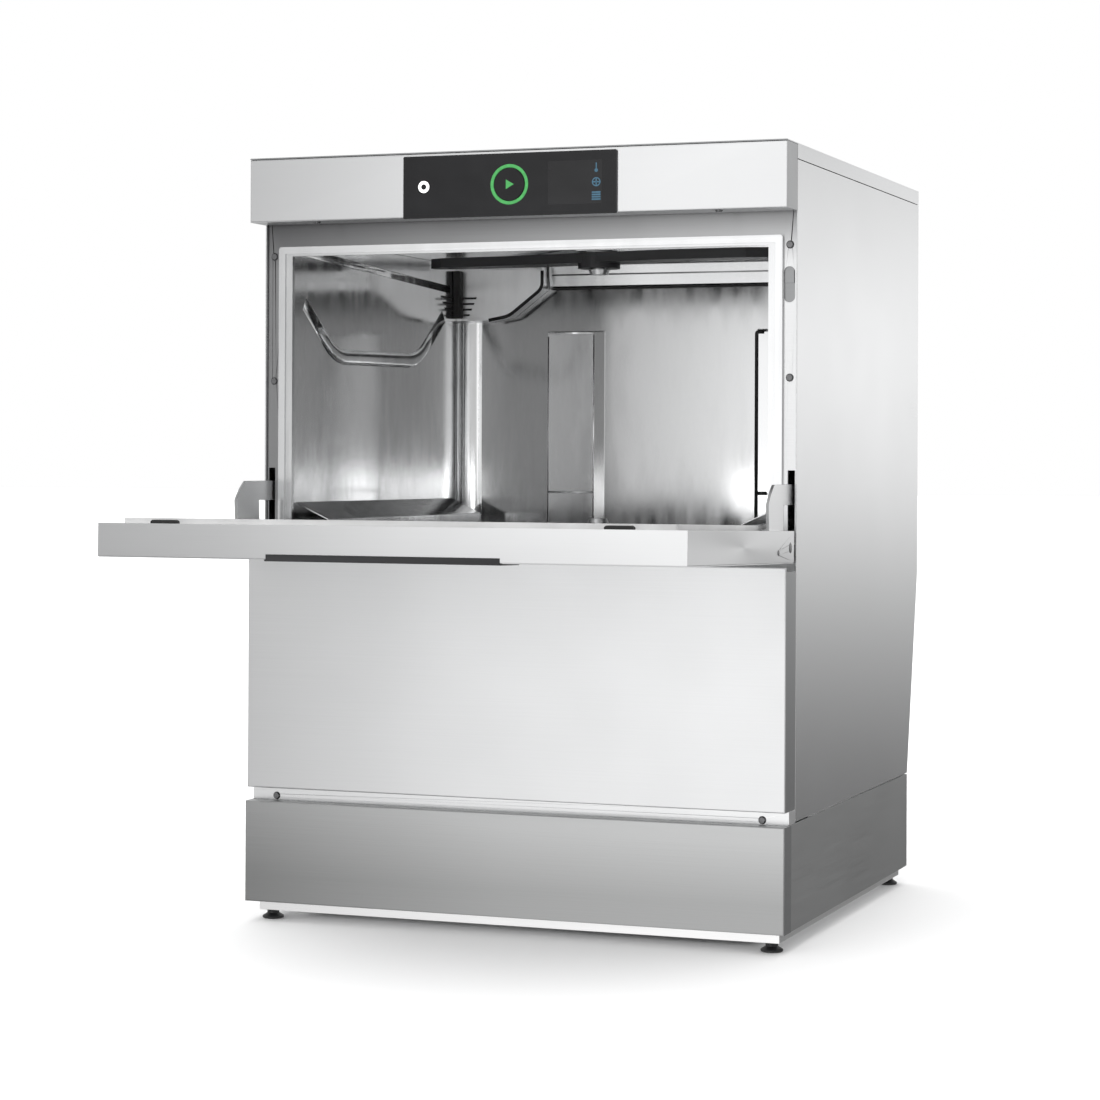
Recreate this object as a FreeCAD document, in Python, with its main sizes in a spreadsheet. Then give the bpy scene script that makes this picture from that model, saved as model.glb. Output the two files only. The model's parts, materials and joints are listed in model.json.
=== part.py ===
import math
import os

import FreeCAD
import Part
import Sketcher

# Undercounter commercial dishwasher with a drop-down door, millimetres, +Z up, front towards -Y.
# Every outline below is written in the case's own frame: X = 0 on the centre line, Y = 0 on the
# face of the header, Z = 0 on the floor. The row's origin is the middle of the open machine's
# footprint, so each sub-part is shifted by FRONT_Y. Door pieces are drawn with the door shut and
# turned about the hinge pins to the open position.

DIMENSIONS = {
    # case
    "case_width": 600,
    "case_height": 820,
    "case_depth": 575,
    "base_depth": 527,
    "panel_gauge": 1.2,
    "base_foot_gap": 21,
    "base_top": 129,
    "panel_seam": 1.4,
    "base_front": -4,
    "base_overhang": 0.5,
    "chamfer_top": 364,
    "side_front": 38,
    "cover_skirt": 16,
    "header_bottom": 751,
    "header_top": 818.4,
    "header_depth": 37,
    "lower_panel_bottom": 143,
    "lower_panel_top": 389.5,
    "rail_front": 15,
    # base frame and feet
    "frame_half_width": 291,
    "frame_front": 13,
    "frame_rear": 524,
    "frame_bottom": 10,
    "frame_web": 60,
    "frame_gauge": 1.5,
    "foot_x": 280,
    "foot_front": 24,
    "foot_rear": 513,
    "foot_pad_radius": 11.5,
    "foot_stem_radius": 4,
    "foot_clearance": 0.05,
    # door opening
    "door_frame_front": 42.4,
    "door_frame_half": 298.5,
    "profile_half": 284,
    "profile_top": 727,
    "profile_bottom": 413,
    "bead_width": 7.5,
    "bead_height": 4,
    "opening_half": 268.6,
    "opening_top": 717,
    "opening_bottom": 428,
    # wash chamber
    "chamber_half": 275,
    "chamber_front": 44,
    "chamber_back": 546,
    "chamber_top": 740,
    "chamber_bottom": 400,
    "chamber_gauge": 1,
    "chamber_radius": 25,
    "rib_width": 73,
    "rib_flank": 12,
    "rib_depth": 5,
    "rib_top": 656,
    "arm_centre_y": 280,
    "arm_radius": 222,
    "arm_bore_radius": 8.06,
    "spindle_radius": 8,
    "tank_floor": 300,
    "basket_x": 130,
    "basket_y": 170,
    "basket_radius": 54,
    # door
    "door_bottom": 395.5,
    "door_top": 748,
    "door_thickness": 33,
    "pivot_y": 16,
    "pivot_z": 409,
    "door_open_angle": 88.7,
    "grip_half": 120.7,
    "arm_plate_x": 291.5,
    "arm_plate_gauge": 3,
    "pin_radius": 4,
    "pin_clearance": 0.06,
    # controls
    "glass_half": 119,
    "glass_top": 815.5,
    "glass_thickness": 2.5,
    "start_x": 1,
    "power_x": -95.3,
    "button_z": 783,
    "start_radius": 17.3,
    "ring_inner": 17.6,
    "ring_outer": 21,
    "power_radius": 6.8,
    # service fittings at the rear
    "inlet_x": -150,
    "inlet_z": 200,
    "inlet_radius": 13.2,
    "drain_x": 60,
    "drain_z": 190,
    "drain_radius": 10.5,
    "gland_x": 200,
    "gland_z": 200,
    "gland_bore": 6.5,
}

DOC = FreeCAD.newDocument("undercounter_dishwasher")
SHEET = DOC.addObject("Spreadsheet::Sheet", "dims")
X_AXIS = FreeCAD.Vector(1, 0, 0)
Y_AXIS = FreeCAD.Vector(0, 1, 0)
Z_AXIS = FreeCAD.Vector(0, 0, 1)
PARTS = {}


class Size:
    """A length that knows its value and the expression that binds it to the sheet."""

    def __init__(self, value, text):
        self.value = value
        self.text = text

    def __add__(self, other):
        other = size(other)
        return Size(self.value + other.value, "(%s + %s)" % (self.text, other.text))

    def __sub__(self, other):
        other = size(other)
        return Size(self.value - other.value, "(%s - %s)" % (self.text, other.text))

    def __mul__(self, other):
        other = size(other)
        return Size(self.value * other.value, "(%s * %s)" % (self.text, other.text))

    def __truediv__(self, other):
        other = size(other)
        return Size(self.value / other.value, "(%s / %s)" % (self.text, other.text))

    def __radd__(self, other):
        return size(other) + self

    def __rsub__(self, other):
        return size(other) - self

    def __rmul__(self, other):
        return size(other) * self

    def __neg__(self):
        return Size(-self.value, "(-%s)" % self.text)


def size(number):
    """A Size as it is, or a plain number as a Size of its own."""
    if isinstance(number, Size):
        return number
    return Size(float(number), "(%r)" % float(number))


def fill_sheet():
    """Write the driving dimensions to the sheet and return one Size for each."""
    sizes = {}
    for row, (alias, value) in enumerate(DIMENSIONS.items(), 1):
        cell = "A%d" % row
        SHEET.set(cell, str(value))
        SHEET.setAlias(cell, alias)
        sizes[alias] = Size(float(value), "dims." + alias)
    DOC.recompute()
    return sizes


D = fill_sheet()
HALF = D["case_width"] / 2
GAUGE = D["panel_gauge"]


def cosine(angle):
    return Size(math.cos(math.radians(angle.value)), "cos(%s * 1 deg)" % angle.text)


def sine(angle):
    return Size(math.sin(math.radians(angle.value)), "sin(%s * 1 deg)" % angle.text)


OPEN_COS = cosine(D["door_open_angle"])
OPEN_SIN = sine(D["door_open_angle"])
DOOR_REACH = (D["pivot_y"] - D["pivot_y"] * OPEN_COS
              - (D["door_top"] - D["pivot_z"]) * OPEN_SIN)
FRONT_Y = -(D["case_depth"] + DOOR_REACH) / 2


def bind(item, name, length):
    """Set one property from a Size, as a value first and then as an expression."""
    item.setExpression(name, size(length).text)


def keep(item, name):
    """Register a finished sub-part under the name of its file."""
    item.Label = name
    PARTS[name] = item
    return item


def at_case(item, name):
    """Place a sub-part drawn in the case's frame."""
    bind(item, "Placement.Base.y", FRONT_Y)
    return keep(item, name)


def at_door(item, name):
    """Place a sub-part drawn with the door shut: turned open about the hinge pins."""
    shift_y = D["pivot_y"] - D["pivot_y"] * OPEN_COS + D["pivot_z"] * OPEN_SIN
    shift_z = D["pivot_z"] - D["pivot_y"] * OPEN_SIN - D["pivot_z"] * OPEN_COS
    angle = D["door_open_angle"]
    item.Placement = FreeCAD.Placement(FreeCAD.Vector(0, 0, 0), FreeCAD.Rotation(X_AXIS, angle.value))
    bind(item, "Placement.Base.y", FRONT_Y + shift_y)
    bind(item, "Placement.Base.z", shift_z)
    item.setExpression("Placement.Rotation.Angle", "%s * 1 deg" % angle.text)
    return keep(item, name)


# ---------------------------------------------------------------- PartDesign helpers

# plane role, and the sign of the sketch normal along the axis that it faces
PLANES = {"X": ("YZ_Plane", 1), "Y": ("XZ_Plane", -1), "Z": ("XY_Plane", 1)}


def new_body(name):
    return DOC.addObject("PartDesign::Body", "body_" + name)


def new_sketch(body, axis, level):
    """A sketch facing an axis at a level along it. X: (Y, Z), Y: (X, Z), Z: (X, Y)."""
    role, sign = PLANES[axis]
    sketch = body.newObject("Sketcher::SketchObject", "sketch")
    plane = [item for item in body.Origin.OriginFeatures if item.Role == role][0]
    sketch.AttachmentSupport = (plane, [""])
    sketch.MapMode = "FlatFace"
    bind(sketch, "AttachmentOffset.Base.z", size(level) * sign)
    return sketch


def draw_polygon(sketch, points):
    """Draw a closed outline whose corners are bound to the sheet."""
    points = [(size(across), size(up)) for across, up in points]
    first = sketch.GeometryCount
    count = len(points)
    for index in range(count):
        start = FreeCAD.Vector(points[index][0].value, points[index][1].value, 0)
        after = points[(index + 1) % count]
        end = FreeCAD.Vector(after[0].value, after[1].value, 0)
        sketch.addGeometry(Part.LineSegment(start, end), False)
    for index in range(count):
        line, after = first + index, first + (index + 1) % count
        sketch.addConstraint(Sketcher.Constraint("Coincident", line, 2, after, 1))
    for index, point in enumerate(points):
        for kind, length in zip(("DistanceX", "DistanceY"), point):
            constraint = Sketcher.Constraint(kind, -1, 1, first + index, 1, length.value)
            number = sketch.addConstraint(constraint)
            bind(sketch, "Constraints[%d]" % number, length)


def draw_circle(sketch, centre, radius):
    """Draw a circle whose centre and radius are bound to the sheet."""
    across, up, radius = size(centre[0]), size(centre[1]), size(radius)
    middle = FreeCAD.Vector(across.value, up.value, 0)
    circle = sketch.addGeometry(Part.Circle(middle, Z_AXIS, radius.value), False)
    for kind, length in (("DistanceX", across), ("DistanceY", up)):
        number = sketch.addConstraint(Sketcher.Constraint(kind, -1, 1, circle, 3, length.value))
        bind(sketch, "Constraints[%d]" % number, length)
    number = sketch.addConstraint(Sketcher.Constraint("Radius", circle, radius.value))
    bind(sketch, "Constraints[%d]" % number, radius)


def rectangle(left, right, low, high):
    return [(left, low), (right, low), (right, high), (left, high)]


def band(half, low, high):
    """A rectangle that is symmetric across the centre line."""
    return rectangle(-half, half, low, high)


def add_pad(body, axis, start, end, outlines=(), circles=()):
    """Pad outlines and circles from start to end along an axis; inner outlines are holes."""
    level = start if PLANES[axis][1] > 0 else end
    sketch = new_sketch(body, axis, level)
    for outline in outlines:
        draw_polygon(sketch, outline)
    for centre, radius in circles:
        draw_circle(sketch, centre, radius)
    pad = body.newObject("PartDesign::Pad", "pad")
    pad.Profile = sketch
    bind(pad, "Length", size(end) - start)
    body.Tip = pad
    return pad


def add_pocket(body, axis, start, end, outlines=(), circles=()):
    """Cut outlines and circles away from start to end along an axis."""
    DOC.recompute()
    before = body.Shape.Volume
    level = end if PLANES[axis][1] > 0 else start
    sketch = new_sketch(body, axis, level)
    for outline in outlines:
        draw_polygon(sketch, outline)
    for centre, radius in circles:
        draw_circle(sketch, centre, radius)
    pocket = body.newObject("PartDesign::Pocket", "pocket")
    pocket.Profile = sketch
    bind(pocket, "Length", size(end) - start)
    body.Tip = pocket
    DOC.recompute()
    if not body.Shape.Volume < before:
        raise RuntimeError(body.Name + ": a pocket cut nothing")
    return pocket


def add_revolution(body, axis_name, centre, outline):
    """Turn an outline of (radius, height) round an axis along Y or Z through a centre.

    The axis is a construction line of the sketch, so that it moves with the outline.
    """
    across, level = centre
    sketch = new_sketch(body, "X" if axis_name == "Y" else "Y", level if axis_name == "Z" else across)
    if axis_name == "Z":
        points = [(size(across) + radius, height) for radius, height in outline]
        line = ((across, 0), (across, 1))
    else:
        points = [(height, size(level) + radius) for radius, height in outline]
        line = ((0, level), (1, level))
    draw_polygon(sketch, points)
    ends = [FreeCAD.Vector(size(a).value, size(b).value, 0) for a, b in line]
    number = sketch.addGeometry(Part.LineSegment(*ends), True)
    for end, point in enumerate(line, 1):
        for kind, length in zip(("DistanceX", "DistanceY"), point):
            item = sketch.addConstraint(Sketcher.Constraint(kind, -1, 1, number, end, size(length).value))
            bind(sketch, "Constraints[%d]" % item, length)
    turn = body.newObject("PartDesign::Revolution", "revolution")
    turn.Profile = sketch
    turn.ReferenceAxis = (sketch, ["Axis0"])
    turn.Angle = 360
    body.Tip = turn
    return turn


def edges_along(body, axes, choose):
    """Names of straight edges parallel to one of the axes whose middle passes the choice."""
    names = []
    for number, edge in enumerate(body.Shape.Edges, 1):
        if edge.Curve.TypeId != "Part::GeomLine":
            continue
        start, end = edge.Vertexes[0].Point, edge.Vertexes[-1].Point
        along = (end - start).normalize()
        middle = body.Placement.inverse().multVec((start + end) / 2)
        parallel = any(abs(abs(along.dot(axis)) - 1) < 1e-6 for axis in axes)
        if parallel and choose(middle):
            names.append("Edge%d" % number)
    return names


def round_edges(body, axes, radius, choose):
    """Round straight edges along the axes, as a press brake or a mould would."""
    DOC.recompute()
    names = edges_along(body, axes, choose)
    if not names:
        raise RuntimeError(body.Name + ": no edge to round")
    solid = body.Tip
    fillet = body.newObject("PartDesign::Fillet", "fillet")
    fillet.Base = (solid, names)
    fillet.Radius = radius
    body.Tip = fillet


def plate(name, axis, start, end, outlines, circles=()):
    """A flat piece of the case padded in one go, with its holes."""
    body = new_body(name)
    add_pad(body, axis, start, end, outlines, circles)
    return at_case(body, name)


def pan(name, half, low, high, front, back, place=at_case):
    """A folded panel: a face towards the front with a return on all four sides."""
    body = new_body(name)
    add_pad(body, "Y", front, back, [band(half, low, high)])
    add_pocket(body, "Y", front + GAUGE, back, [band(half - GAUGE, low + GAUGE, high - GAUGE)])
    round_edges(body, (X_AXIS, Z_AXIS), 1.6, lambda point: abs(point.y - front.value) < 0.01)
    return place(body, name)


# ---------------------------------------------------------------- Part helpers

def part_box(x_range, y_range, z_range):
    """A raw box in the case's frame, for booleans."""
    box = DOC.addObject("Part::Box", "box")
    spans = (x_range, y_range, z_range)
    for name, axis, (low, high) in zip(("Length", "Width", "Height"), "xyz", spans):
        bind(box, name, size(high) - low)
        bind(box, "Placement.Base." + axis, low)
    return box


def part_cylinder(base, radius, length, axis=Z_AXIS):
    """A raw cylinder from a base point along an axis."""
    cylinder = DOC.addObject("Part::Cylinder", "cylinder")
    cylinder.Placement.Rotation = FreeCAD.Rotation(Z_AXIS, axis)
    bind(cylinder, "Radius", radius)
    bind(cylinder, "Height", length)
    for name, value in zip("xyz", base):
        bind(cylinder, "Placement.Base." + name, value)
    return cylinder


def part_cone(base, radius, end_radius, length, axis=Z_AXIS):
    """A raw cone from a base point along an axis."""
    cone = DOC.addObject("Part::Cone", "cone")
    cone.Placement.Rotation = FreeCAD.Rotation(Z_AXIS, axis)
    bind(cone, "Radius1", radius)
    bind(cone, "Radius2", end_radius)
    bind(cone, "Height", length)
    for name, value in zip("xyz", base):
        bind(cone, "Placement.Base." + name, value)
    return cone


def fuse(*items):
    union = DOC.addObject("Part::MultiFuse", "fuse")
    union.Shapes = list(items)
    union.Refine = True
    return union


def cut(base, tool):
    difference = DOC.addObject("Part::Cut", "cut")
    difference.Base = base
    difference.Tool = tool
    return difference


def group(*items):
    """Identical pieces that share one node, as separate solids."""
    compound = DOC.addObject("Part::Compound", "group")
    compound.Links = list(items)
    return compound


def box_part(name, x_range, y_range, z_range):
    """A plain plate of the case as a node of its own."""
    box = part_box(x_range, y_range, z_range)
    bind(box, "Placement.Base.y", FRONT_Y + y_range[0])
    return keep(box, name)


def screw(head, axis, head_radius, head_height, shank_radius, shank_length):
    """A pan-head screw: the head stands out of a face along the axis, the shank goes in."""
    base = [size(value) for value in head]
    back = [value - step * shank_length for value, step in zip(base, axis)]
    top = part_cone(base, head_radius, head_radius * 0.72, head_height, axis)
    shank = part_cylinder(back, shank_radius, shank_length, axis)
    return fuse(top, shank)


def route_wire(points):
    """Straight runs joined by tangent arcs, each as large as its two runs allow."""
    points = [FreeCAD.Vector(*point) for point in points]
    edges = []
    start = points[0]
    for before, corner, after in zip(points, points[1:], points[2:]):
        into, out = corner - before, after - corner
        turn = into.getAngle(out)
        reach = 0.45 * min(into.Length, out.Length)
        entry = corner - FreeCAD.Vector(into).normalize() * reach
        leave = corner + FreeCAD.Vector(out).normalize() * reach
        radius = reach / math.tan(turn / 2)
        towards = (entry + leave) / 2 - corner
        bulge = radius / math.cos(turn / 2) - radius
        middle = corner + towards.normalize() * bulge
        edges.append(Part.LineSegment(start, entry).toShape())
        edges.append(Part.Arc(entry, middle, leave).toShape())
        start = leave
    edges.append(Part.LineSegment(start, points[-1]).toShape())
    return Part.Wire(edges)


def tube(points, radius):
    """A round hose or rod swept along a route, as a shape."""
    path = route_wire(points)
    first = FreeCAD.Vector(*points[0])
    along = FreeCAD.Vector(*points[1]) - first
    ring = Part.Wire(Part.makeCircle(radius, first, along))
    return path.makePipeShell([ring], True, True)


def feature(name, shape):
    """A sub-part made with Part's own functions, placed in the case."""
    item = DOC.addObject("Part::Feature", "feature_" + name)
    item.Shape = shape
    return at_case(item, name)


# ---------------------------------------------------------------- outer panels

def make_top_cover():
    """Cover with a skirt; its front edge is a thin sheet that lies over the header."""
    body = new_body("top_cover")
    top = D["case_height"]
    low = top - D["cover_skirt"]
    depth = D["case_depth"]
    clear = D["header_depth"] + 0.6
    add_pad(body, "Z", low, top, [band(HALF, 0, depth)])
    add_pocket(body, "Z", low, top - GAUGE, [band(HALF - GAUGE, GAUGE, depth - GAUGE)])
    add_pocket(body, "Z", low, D["header_top"] + 0.3, [band(HALF + 1, -1, clear)])
    round_edges(body, (Y_AXIS,), 0.8, lambda point: abs(point.z - top.value) < 0.01)
    at_case(body, "top_cover")


def make_header():
    """Header panel, with a window behind the control glass and two screw holes below."""
    low, high, depth = D["header_bottom"], D["header_top"], D["header_depth"]
    body = pan("header_panel", HALF, low, high, size(0), depth)
    window = D["glass_half"] - 14
    add_pocket(body, "Y", -1, GAUGE, [band(window, low + 6, high - 6)])
    add_pocket(body, "Z", low - 1, low + GAUGE, circles=[((side * 225, 10), 2.1) for side in (-1, 1)])


def make_control_panel():
    """Black glass with its two push buttons, the light ring, the display and its board."""
    glass = new_body("control_glass")
    low, high = D["header_bottom"] - 1, D["glass_top"]
    front = -D["glass_thickness"]
    start = (D["start_x"], D["button_z"])
    power = (D["power_x"], D["button_z"])
    holes = [(start, D["ring_outer"] + 0.1), (power, D["power_radius"] + 0.3)]
    add_pad(glass, "Y", front, 0, [band(D["glass_half"], low, high)], holes)
    round_edges(glass, (Y_AXIS,), 1.5, lambda point: True)
    at_case(glass, "control_glass")
    plate("start_ring_light", "Y", front - 0.3, 1.8, [],
          [(start, D["ring_outer"]), (start, D["ring_inner"])])
    for name, centre, radius, flange in (("start_button", start, D["start_radius"], 2.3),
                                         ("power_button", power, D["power_radius"], 0.5)):
        body = new_body(name)
        add_revolution(body, "Y", centre, [
            (0, front - 0.6), (radius - 0.8, front - 0.6), (radius, front), (radius, flange),
            (radius + 1.6, flange), (radius + 1.6, flange + 1.4), (3, flange + 1.4),
            (3, 6.4), (0, 6.4)])
        at_case(body, name)
    plate("display_module", "Y", 0.3, 8.5, [rectangle(38, 104, low + 9, high - 9)])
    board = new_body("control_board")
    add_pad(board, "Y", 12, 13.6, [band(D["glass_half"] - 15, low + 9, high - 9)])
    add_pad(board, "Y", 8.2, 12, [], [(start, 3), (power, 3)])
    at_case(board, "control_board")


def make_side_panels():
    """Side panels, cut back to the shallower base at their lower rear corners."""
    low = D["base_top"] + D["panel_seam"]
    high = D["case_height"] - D["cover_skirt"] - 0.8
    outline = [(D["side_front"], low), (D["base_depth"], low), (D["case_depth"], D["chamfer_top"]),
               (D["case_depth"], high), (D["side_front"], high)]
    for name, start in (("side_panel_left", -HALF), ("side_panel_right", HALF - GAUGE)):
        plate(name, "X", start, start + GAUGE, [outline])


def rear_line(level):
    """Depth of the rear face at a level between the base and the top of the chamfer."""
    slope = (D["case_depth"] - D["base_depth"]) / (D["chamfer_top"] - D["base_top"])
    return D["base_depth"] + slope * (size(level) - D["base_top"])


def make_rear_panel():
    """Rear panel folded along the chamfer, with holes for water, drain and mains."""
    low = D["base_top"] + D["panel_seam"]
    high = D["case_height"] - D["cover_skirt"] - 0.8
    kink, back, base = D["chamfer_top"], D["case_depth"], D["base_depth"]
    outline = [(base, low), (back, kink), (back, high),
               (back - GAUGE, high), (back - GAUGE, kink), (base - GAUGE, low)]
    body = new_body("rear_panel")
    half = HALF - GAUGE - 0.2
    add_pad(body, "X", -half, half, [outline])
    holes = [((D["inlet_x"], D["inlet_z"]), D["inlet_radius"] + 1.8),
             ((D["drain_x"], D["drain_z"]), D["drain_radius"] + 2),
             ((D["gland_x"], D["gland_z"]), D["gland_bore"] + 2.6)]
    add_pocket(body, "Y", base, back + 1, circles=holes)
    at_case(body, "rear_panel")


def make_lower_front():
    """Lower front panel: a pan whose top lip stays clear of the swinging door."""
    low, high, depth = D["lower_panel_bottom"], D["lower_panel_top"], D["header_depth"]
    body = pan("lower_front_panel", HALF, low, high, size(0), depth)
    add_pocket(body, "Y", 3, depth + 1, [band(HALF + 1, high - 4.5, high + 1)])
    rail = new_body("lower_front_rail")
    front = D["rail_front"]
    holes = [((side * 272, 133.5), 2.1) for side in (-1, 1)]
    foot, lip = low - 17, D["base_top"] + 0.4
    add_pad(rail, "Y", front, front + GAUGE, [band(HALF - 1.5, foot, low - 0.2)], holes)
    add_pad(rail, "Y", front + GAUGE, front + 14, [band(HALF - 1.5, foot, foot + GAUGE)])
    for left, right in ((HALF - 1.8, HALF), (-HALF, 1.8 - HALF)):
        add_pad(rail, "Y", front, D["side_front"] - 0.4, [rectangle(left, right, lip, low - 0.2)])
    at_case(rail, "lower_front_rail")


def make_base_panels():
    """Plinth of four panels under the case."""
    low, high, front = D["base_foot_gap"], D["base_top"], D["base_front"]
    return_depth = 22
    shelf_depth = 12
    fascia = pan("base_front_panel", HALF + D["base_overhang"], low, high, front, size(return_depth))
    add_pocket(fascia, "Y", shelf_depth, return_depth + 1, [band(HALF - GAUGE + 0.3, low - 1, high + 1)])
    for name, start in (("base_side_left", -HALF), ("base_side_right", HALF - GAUGE)):
        box_part(name, (start, start + GAUGE), (size(return_depth + 0.4), D["base_depth"]), (low, high))
    half = HALF - GAUGE - 0.2
    box_part("base_rear_panel", (-half, half), (D["base_depth"] - GAUGE, D["base_depth"]), (low, high))


# ---------------------------------------------------------------- base frame and feet

def foot_centres():
    return {"foot_front_left": (-D["foot_x"], D["foot_front"]),
            "foot_front_right": (D["foot_x"], D["foot_front"]),
            "foot_rear_left": (-D["foot_x"], D["foot_rear"]),
            "foot_rear_right": (D["foot_x"], D["foot_rear"])}


def make_base_frame():
    """Welded angle frame: upright web, inward flange and four threaded bosses."""
    half, front, rear = D["frame_half_width"], D["frame_front"], D["frame_rear"]
    low, web, wall = D["frame_bottom"], D["frame_web"], D["frame_gauge"]
    flange = 36
    outer = band(half, front, rear)
    bores = [(centre, D["foot_stem_radius"] + D["foot_clearance"]) for centre in foot_centres().values()]
    body = new_body("base_frame")
    add_pad(body, "Z", low, low + wall, [outer, band(half - flange, front + flange, rear - flange)])
    add_pad(body, "Z", low, web, [outer, band(half - wall, front + wall, rear - wall)])
    add_pad(body, "Z", low + wall, low + 16, [], [(centre, 7.5) for centre in foot_centres().values()])
    add_pocket(body, "Z", low - 1, low + 17, circles=bores)
    at_case(body, "base_frame")


def make_feet():
    """Levelling feet: a flared pad on a threaded stem."""
    pad, stem, low = D["foot_pad_radius"], D["foot_stem_radius"], D["frame_bottom"]
    for name, (across, depth) in foot_centres().items():
        body = new_body(name)
        add_revolution(body, "Z", (across, depth), [
            (0, 0), (pad - 1, 0), (pad, 1), (pad, 2.6), (pad * 0.56, 5.8), (pad * 0.56, low - 0.6),
            (stem, low - 0.6), (stem, 44), (stem - 1, 45), (0, 45)])
        at_case(body, name)


# ---------------------------------------------------------------- door opening and chamber

def make_door_frame():
    """Front plate of the chamber: opening, arm slots, latch slot and screw holes."""
    front, half = D["door_frame_front"], D["door_frame_half"]
    inner = D["chamber_half"]
    body = new_body("door_frame")
    slots = [rectangle(289.5, 296.7, 413, 487), rectangle(-296.7, -289.5, 413, 487)]
    latch = rectangle(284.6, 296, 664, 689)
    holes = [((side * 291, level), 2.1) for side in (-1, 1) for level in (717, 581.5)]
    ends = [((290.3, level), 5.7) for level in (664, 689)]
    add_pad(body, "Y", front, front + GAUGE,
            [band(half, 380, 800), band(inner, D["opening_bottom"] - 6, D["opening_top"] + 8)], holes)
    add_pocket(body, "Y", front - 1, front + 2, slots + [latch])
    for end in ends:
        add_pocket(body, "Y", front - 1, front + 2, circles=[end])
    at_case(body, "door_frame")


def make_opening_profile():
    """Stepped profile round the opening: a raised sealing bead and an inner lip."""
    front = D["door_frame_front"]
    half, top, low = D["profile_half"], D["profile_top"], D["profile_bottom"]
    bead, lip = D["bead_width"], 1.4
    inner_half, inner_top, inner_low = D["opening_half"], D["opening_top"], D["opening_bottom"]
    inner = band(inner_half, inner_low, inner_top)
    body = new_body("opening_profile")
    add_pad(body, "Y", front - 2, front, [band(half, low, top), inner])
    add_pad(body, "Y", front - D["bead_height"], front - 2,
            [band(half, low, top), band(half - bead, low + bead, top - bead)])
    add_pad(body, "Y", front, front + 3.4,
            [band(inner_half + lip, inner_low - lip, inner_top + lip), inner])
    round_edges(body, (Y_AXIS,), 2.5, lambda point: abs(abs(point.x) - half.value) < 0.01)
    at_case(body, "opening_profile")


def make_chamber_walls():
    """Side walls, back wall with its pressed ribs, rounded rear corners and the ceiling."""
    half, wall, radius = D["chamber_half"], D["chamber_gauge"], D["chamber_radius"]
    front, back = D["chamber_front"], D["chamber_back"]
    low, top = D["chamber_bottom"], D["chamber_top"]
    side_end = back - radius
    box_part("chamber_left_wall", (-half - wall, -half), (front, side_end), (low, top))
    box_part("chamber_right_wall", (half, half + wall), (front, side_end), (low, top))
    rear = new_body("chamber_back_wall")
    flat = half - radius
    add_pad(rear, "Y", back, back + wall, [band(flat, low, top)])
    for left in (-160, 110):
        right, flank = left + D["rib_width"], D["rib_flank"]
        add_pad(rear, "Z", low, D["rib_top"], [
            [(left, back), (left, back - D["rib_depth"]),
             (right - flank, back - D["rib_depth"]), (right, back)]])
    at_case(rear, "chamber_back_wall")
    corners = []
    for side in (-1, 1):
        centre = (side * flat, side_end, low)
        ring = cut(part_cylinder(centre, radius + wall, top - low),
                   part_cylinder(centre, radius, top - low))
        edge = side * half + side * wall
        span = (edge, side * flat) if side < 0 else (side * flat, edge)
        quarter = DOC.addObject("Part::MultiCommon", "common")
        quarter.Shapes = [ring, part_box(span, (side_end, back + wall), (low, top))]
        corners.append(quarter)
    at_case(group(*corners), "chamber_corners")
    outer = half + wall
    box_part("chamber_ceiling", (-outer, outer), (front, back + wall), (top + 0.2, top + 0.2 + wall))


def tapered_block(bottom, top, low, high):
    """A raw block whose rectangle changes from bottom to top; each is (half, front, back)."""
    wedge = DOC.addObject("Part::Wedge", "wedge")
    wedge.Placement.Rotation = FreeCAD.Rotation(X_AXIS, 90)
    for name, (half, front, back) in (("", bottom), ("2", top)):
        bind(wedge, "X%smin" % name, -size(half))
        bind(wedge, "X%smax" % name, half)
        bind(wedge, "Z%smin" % name, -size(back))
        bind(wedge, "Z%smax" % name, -size(front))
    bind(wedge, "Ymin", low)
    bind(wedge, "Ymax", high)
    return wedge


def make_tank():
    """Wash tank: a hopper under the chamber, with a round sump and a hole for the spindle."""
    half, wall = D["chamber_half"] + D["chamber_gauge"], D["panel_gauge"]
    front, back = D["chamber_front"], D["chamber_back"] + D["chamber_gauge"]
    low, high = D["tank_floor"], D["chamber_bottom"] - 0.3
    sump = (D["basket_x"], D["basket_y"])
    deep = D["basket_radius"] + 4
    outer = fuse(tapered_block((170, 130, 430), (half, front, back), low, high),
                 part_cylinder((sump[0], sump[1], low - 38), deep + wall, 50))
    inner = fuse(tapered_block((170 - wall, 130 + wall, 430 - wall),
                               (half - wall, front + wall, back - wall), low + wall, high + 0.5),
                 part_cylinder((sump[0], sump[1], low - 38 + wall), deep, 60),
                 part_cylinder((0, D["arm_centre_y"], low - 1), 12.2, 10))
    at_case(cut(outer, inner), "wash_tank")


def make_strainers():
    """Flat strainer over the tank and the basket that drops into the sump."""
    level = D["chamber_bottom"] - 4
    sump = (D["basket_x"], D["basket_y"])
    radius = D["basket_radius"]
    plate("strainer_plate", "Z", level, level + GAUGE, [band(267, 54, 536)],
          [(sump, radius + 2.5), ((0, D["arm_centre_y"]), 16)])
    basket = new_body("strainer_basket")
    floor, rim = D["tank_floor"] - 32, level + GAUGE
    add_revolution(basket, "Z", sump, [
        (0, floor), (radius, floor), (radius, rim), (radius + 7, rim), (radius + 7, rim + 1.5),
        (radius - 1.5, rim + 1.5), (radius - 1.5, floor + 1.5), (0, floor + 1.5)])
    at_case(basket, "strainer_basket")


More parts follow.
